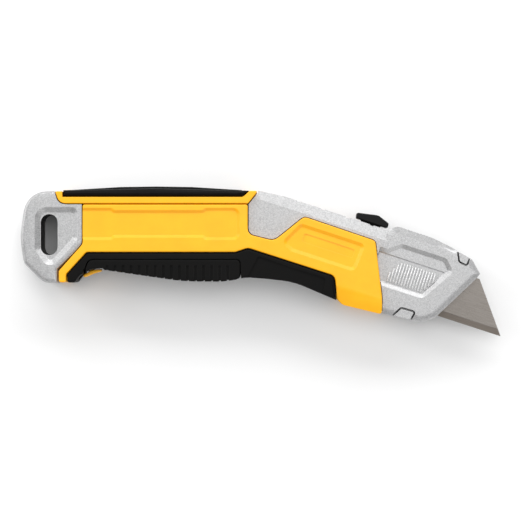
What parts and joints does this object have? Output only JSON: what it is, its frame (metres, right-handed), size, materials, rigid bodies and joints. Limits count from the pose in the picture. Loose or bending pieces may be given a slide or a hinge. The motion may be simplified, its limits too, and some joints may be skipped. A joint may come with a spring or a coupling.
{
  "type": "utility knife",
  "caption": "Retractable trapezoid-blade utility knife with a slanted cast nose, slotted tail, moulded covers, rubber grips, spine slider and swing-out spare blade magazine.",
  "frame": {"origin": "under the middle of the bounding box, on the surface the knife lies on, right side down", "axes": "+X from the tail to the blade's point, +Y from the belly to the spine, +Z out of the left side"},
  "size_m": [0.1874, 0.0586, 0.022],
  "materials": {
    "cast": "satin silver paint over die-cast aluminium",
    "yellow_cover": "satin moulded",
    "rubber_grip": "matte",
    "black_plastic": "satin moulded",
    "button": "satin",
    "blade_steel": "ground",
    "spring_steel": "bright"
  },
  "bodies": {
    "handle": {"left_body_shell": "cast", "right_body_shell": "cast", "left_side_panel": "yellow_cover", "right_side_panel": "yellow_cover", "top_rail": "yellow_cover", "top_grip": "rubber_grip", "left_belly_grip": "rubber_grip", "right_belly_grip": "rubber_grip", "lanyard_liner": "black_plastic", "index_strip": "spring_steel", "left_blade_guide": "black_plastic", "right_blade_guide": "black_plastic", "magazine_hinge_pin": "spring_steel", "body_screw_rear": "spring_steel", "body_screw_middle": "spring_steel", "body_screw_front": "spring_steel"},
    "carriage": {"blade": "blade_steel", "blade_carrier": "black_plastic", "blade_clip": "spring_steel", "button_spring": "spring_steel"},
    "button": {"thumb_button": "button"},
    "magazine": {"magazine_door": "rubber_grip", "magazine_tray": "black_plastic", "latch_spring": "spring_steel", "spare_blade_1": "blade_steel", "spare_blade_2": "blade_steel", "spare_blade_3": "blade_steel"},
    "latch": {"magazine_latch": "yellow_cover"}
  },
  "joints": [
    {"name": "blade_slide", "type": "slide", "parent": "handle", "child": "carriage", "axis": [0.9505, -0.3107, 0], "range_m": [-0.03, 0]},
    {"name": "button_press", "type": "slide", "parent": "carriage", "child": "button", "axis": [-0.3107, -0.9505, 0], "range_m": [0, 0.0004], "stiffness_N_per_m": 400},
    {"name": "magazine_swing", "type": "hinge", "parent": "handle", "child": "magazine", "pos_m": [-0.01027, -0.00476, 0.011], "axis": [0, 0, 1], "range_deg": [0, 45]},
    {"name": "latch_press", "type": "slide", "parent": "magazine", "child": "latch", "axis": [1, 0, 0], "range_m": [0, 0.001], "stiffness_N_per_m": 400}
  ]
}
